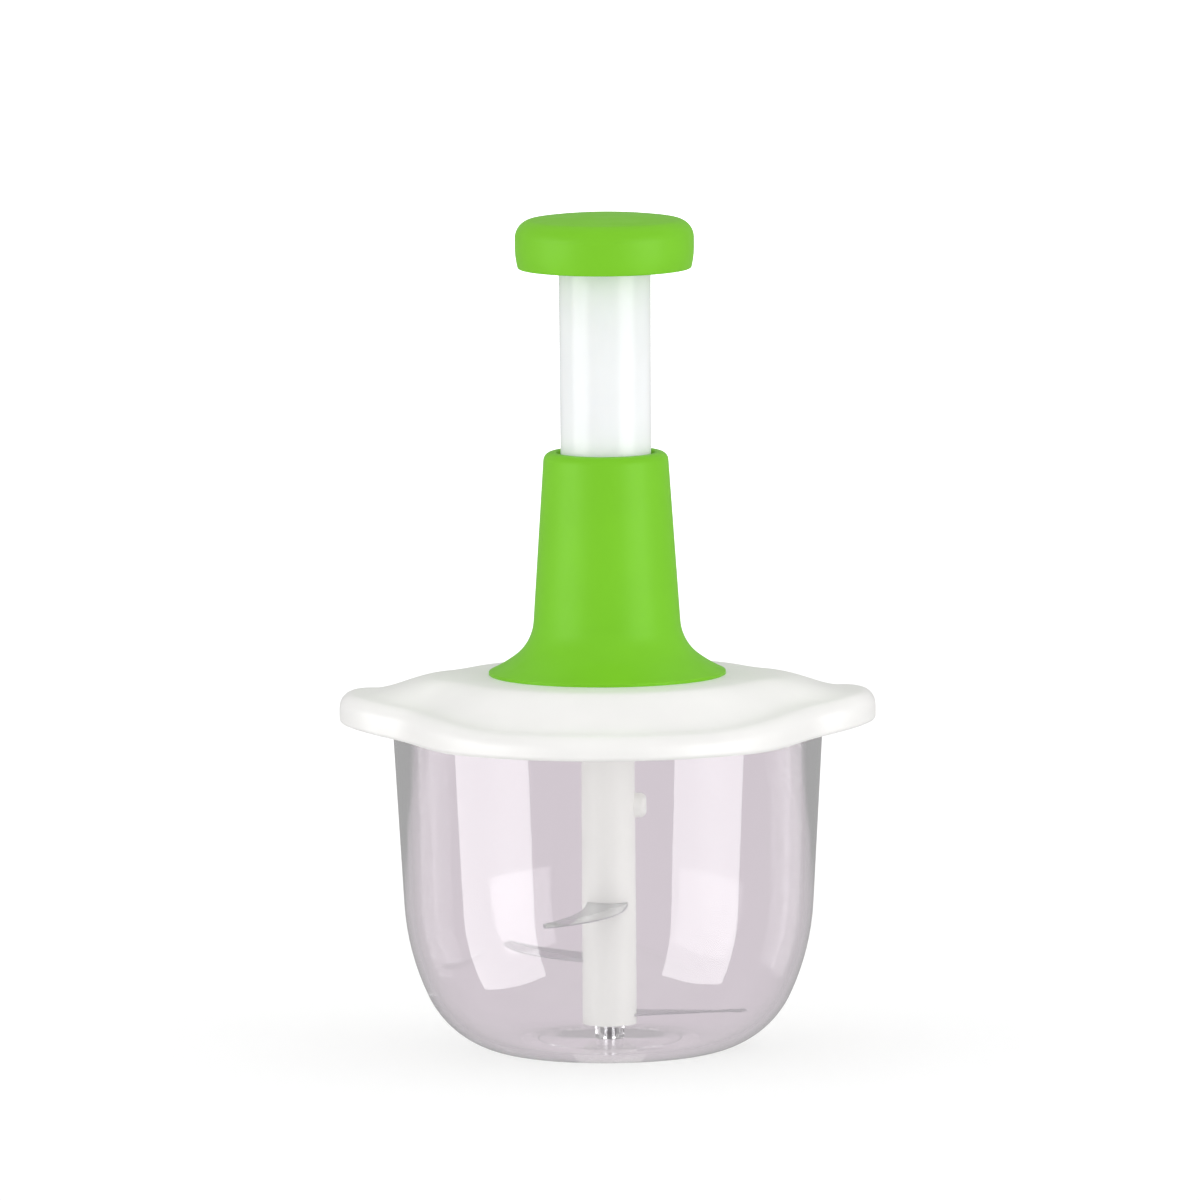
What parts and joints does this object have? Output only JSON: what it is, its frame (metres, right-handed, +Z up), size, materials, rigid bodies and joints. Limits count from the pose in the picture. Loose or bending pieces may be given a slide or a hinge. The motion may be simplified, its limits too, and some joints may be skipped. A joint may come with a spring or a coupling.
{
  "type": "plunger food chopper",
  "caption": "Press-down food chopper: clear bowl, eared lid and flared column, with a plunger whose twisted strip spins a stack of curved blades.",
  "frame": {"origin": "middle of the bowl's foot, on the surface it stands on", "axes": "+Z up through the knob; the lid's two ears lie along X"},
  "size_m": [0.1728, 0.1434, 0.2707],
  "materials": {
    "clear_bowl": "clear moulded styrene, polished",
    "white_plastic": "moulded white plastic, satin gloss",
    "green_plastic": "moulded green plastic, satin gloss",
    "silicone": "translucent silicone",
    "acetal": "natural acetal, machined look",
    "stainless_steel": "cold-rolled stainless steel",
    "blade_steel": "polished blade with a ground edge",
    "spring_steel": "drawn spring wire",
    "screw_steel": "zinc-plated screws"
  },
  "bodies": {
    "bowl": {"bowl": "clear_bowl", "pivot_pin": "stainless_steel"},
    "lid": {"lid": "white_plastic", "lid_liner": "white_plastic", "rim_gasket": "silicone", "bearing_bush": "acetal", "column": "green_plastic", "guide_ring": "white_plastic", "column_screws": "screw_steel", "spring_seat": "white_plastic", "return_spring": "spring_steel"},
    "plunger": {"knob": "green_plastic", "knob_base_plate": "green_plastic", "knob_screws": "screw_steel", "retaining_clip": "spring_steel", "plunger_tube": "white_plastic", "strip_holder": "white_plastic", "strip_anchor_pin": "stainless_steel", "drive_strip": "stainless_steel", "spring_washer": "stainless_steel"},
    "drive_rotor": {"drive_tube": "white_plastic", "drive_socket": "white_plastic", "socket_pin": "stainless_steel", "drive_nut": "acetal", "thrust_washer": "stainless_steel"},
    "blade_rotor": {"blade_shaft": "white_plastic", "shaft_bush": "acetal", "blade_lower": "blade_steel", "blade_middle": "blade_steel", "blade_upper": "blade_steel"}
  },
  "joints": [
    {"name": "lid_lift", "type": "slide", "parent": "bowl", "child": "lid", "axis": [0, 0, 1], "range_m": [0, 0.11]},
    {"name": "plunger_press", "type": "slide", "parent": "lid", "child": "plunger", "axis": [0, 0, -1], "range_m": [0, 0.054], "stiffness_N_per_m": 300, "springref_m": -0.02, "deforming": ["return_spring"]},
    {"name": "drive_spin", "type": "hinge", "parent": "lid", "child": "drive_rotor", "pos_m": [0, 0, 0.1], "axis": [0, 0, 1], "range_deg": [0, 649]},
    {"name": "blade_spin", "type": "hinge", "parent": "bowl", "child": "blade_rotor", "pos_m": [0, 0, 0.01], "axis": [0, 0, 1], "range_deg": [0, 649]}
  ],
  "couplings": [
    {"joint": "drive_spin", "follows": "plunger_press", "rad_per_m": 209.44},
    {"joint": "blade_spin", "follows": "plunger_press", "rad_per_m": 209.44}
  ]
}
